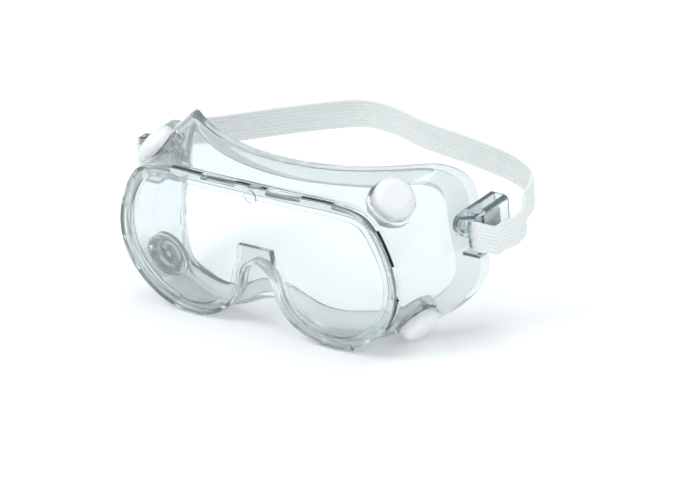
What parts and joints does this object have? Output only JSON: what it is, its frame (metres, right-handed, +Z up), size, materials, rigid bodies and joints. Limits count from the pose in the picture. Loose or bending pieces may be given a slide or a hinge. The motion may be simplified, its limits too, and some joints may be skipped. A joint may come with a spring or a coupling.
{
  "type": "safety goggles",
  "caption": "Clear chemical splash goggles with a soft face body, flat lens, capped indirect vents and a swivelling elastic headband.",
  "frame": {"origin": "bottom centre of the whole object's box, on the surface that the lens rim stands on", "axes": "+Z up, -Y the way the lens faces, +X the wearer's left; the goggles' own middle plane is parallel to YZ"},
  "size_m": [0.2079, 0.139, 0.0835],
  "materials": {
    "soft_pvc": "soft clear vinyl with a faint milky cast",
    "lens_plastic": "polished clear polycarbonate",
    "cap_plastic": "smooth translucent white polyethylene",
    "seat_plastic": "smooth translucent white polyethylene",
    "clip_plastic": "clear blue-grey polycarbonate",
    "stud_plastic": "clear polycarbonate",
    "elastic_webbing": "ribbed woven elastic"
  },
  "bodies": {
    "goggles": {"face_body": "soft_pvc", "lens": "lens_plastic", "vent_seat_upper_left": "seat_plastic", "vent_cap_upper_left": "cap_plastic", "vent_seat_lower_left": "seat_plastic", "vent_cap_lower_left": "cap_plastic", "vent_seat_upper_right": "seat_plastic", "vent_cap_upper_right": "cap_plastic", "vent_seat_lower_right": "seat_plastic", "vent_cap_lower_right": "cap_plastic", "clip_stud_left": "stud_plastic", "stud_washer_left": "stud_plastic", "clip_stud_right": "stud_plastic", "stud_washer_right": "stud_plastic"},
    "left_clip": {"strap_clip_left": "clip_plastic", "headband": "elastic_webbing"},
    "right_clip": {"strap_clip_right": "clip_plastic"}
  },
  "joints": [
    {"name": "left_clip_swivel", "type": "hinge", "parent": "goggles", "child": "left_clip", "pos_m": [0.08918, -0.01702, 0.05152], "axis": [1, 0, 0], "range_deg": [-35, 45]},
    {"name": "right_clip_swivel", "type": "hinge", "parent": "goggles", "child": "right_clip", "pos_m": [-0.09083, -0.01702, 0.05152], "axis": [1, 0, 0], "range_deg": [-35, 45]}
  ],
  "couplings": [
    {"joint": "right_clip_swivel", "follows": "left_clip_swivel", "ratio": 1}
  ]
}
